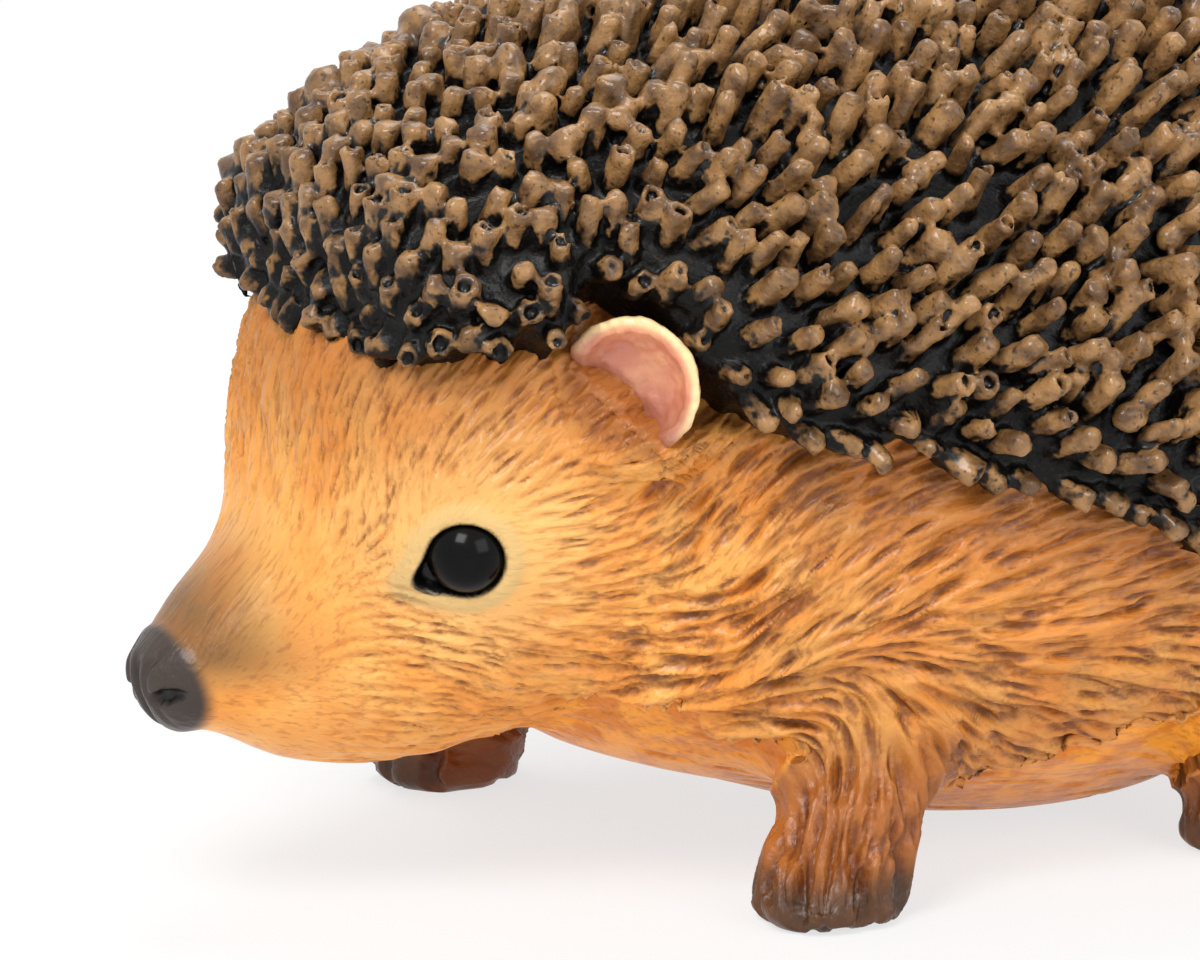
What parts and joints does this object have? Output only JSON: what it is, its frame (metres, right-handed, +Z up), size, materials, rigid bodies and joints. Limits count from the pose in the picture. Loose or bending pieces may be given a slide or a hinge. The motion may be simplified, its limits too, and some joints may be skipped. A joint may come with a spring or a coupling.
{
  "type": "hedgehog figurine",
  "caption": "Standing hedgehog figurine with a bowed head, cupped ears, bead eyes, flat-soled paws and a coat of short blunt quills over its back, for display on a shelf or table.",
  "frame": {"origin": "on the ground under the middle of the figurine's bounding box", "axes": "+Z up, the animal faces -X, its left side is -Y"},
  "size_m": [0.2006, 0.1272, 0.1253],
  "materials": {
    "fur_paint": "cast resin painted orange cream with a brown wash in the fur strokes, varnished",
    "ear_paint": "cast resin painted dusky pink with a pale cream rim, varnished",
    "nose_paint": "cast resin painted soft black, varnished",
    "eye_gloss": "polished black bead",
    "quill_paint": "cast resin painted near black with dry-brushed tan tips, varnished"
  },
  "bodies": {
    "root": {"body": "fur_paint", "head": "fur_paint", "front_left_leg": "fur_paint", "front_right_leg": "fur_paint", "rear_left_leg": "fur_paint", "rear_right_leg": "fur_paint", "left_ear": "ear_paint", "right_ear": "ear_paint", "nose": "nose_paint", "left_eye": "eye_gloss", "right_eye": "eye_gloss", "spine_coat": "quill_paint"}
  },
  "joints": []
}
